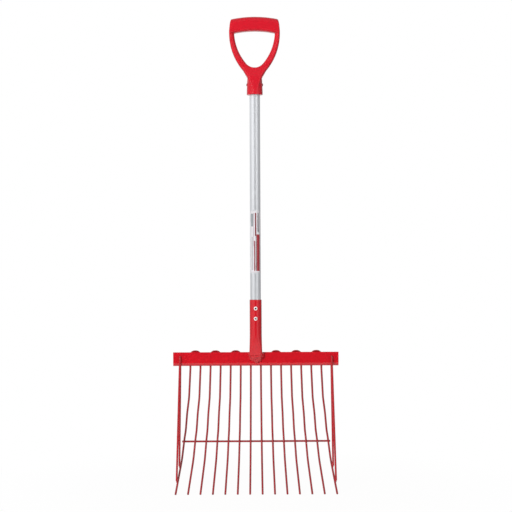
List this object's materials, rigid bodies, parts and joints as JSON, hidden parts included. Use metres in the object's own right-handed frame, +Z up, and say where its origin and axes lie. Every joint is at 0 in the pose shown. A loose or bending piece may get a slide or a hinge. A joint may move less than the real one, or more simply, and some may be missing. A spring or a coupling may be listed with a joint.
{
  "type": "manure fork",
  "caption": "Long-handled manure fork with a moulded D-grip, tube shaft, riveted steel socket and a welded basket head of bent, fanned rod tines with side guards.",
  "frame": {"origin": "under the middle of the hand bar, where a hanging hook bears, on the shaft's axis", "axes": "+Z up along the shaft, +X to the right seen from the front, +Y to the back; the tines' points reach to the front"},
  "size_m": [0.418, 0.0915, 1.197],
  "materials": {
    "grip_plastic": "satin moulded red",
    "red_paint": "gloss red powder coat",
    "tube": "drawn tube, satin",
    "rivet": "bright",
    "steel_pin": "plain steel"
  },
  "bodies": {
    "root": {"grip": "grip_plastic", "grip_rivet": "steel_pin", "shaft": "tube", "socket": "red_paint", "rivet_bodies": "rivet", "rivet_mandrels": "steel_pin", "head_bar": "red_paint", "tine_pair_1": "red_paint", "tine_pair_2": "red_paint", "tine_pair_3": "red_paint", "tine_pair_4": "red_paint", "tine_pair_5": "red_paint", "tine_pair_6": "red_paint", "tine_pair_7": "red_paint", "side_guard_left": "red_paint", "side_guard_right": "red_paint", "cross_rod": "red_paint", "socket_weld": "red_paint", "tine_welds": "red_paint", "guard_welds": "red_paint", "cross_rod_welds": "red_paint"}
  },
  "joints": []
}
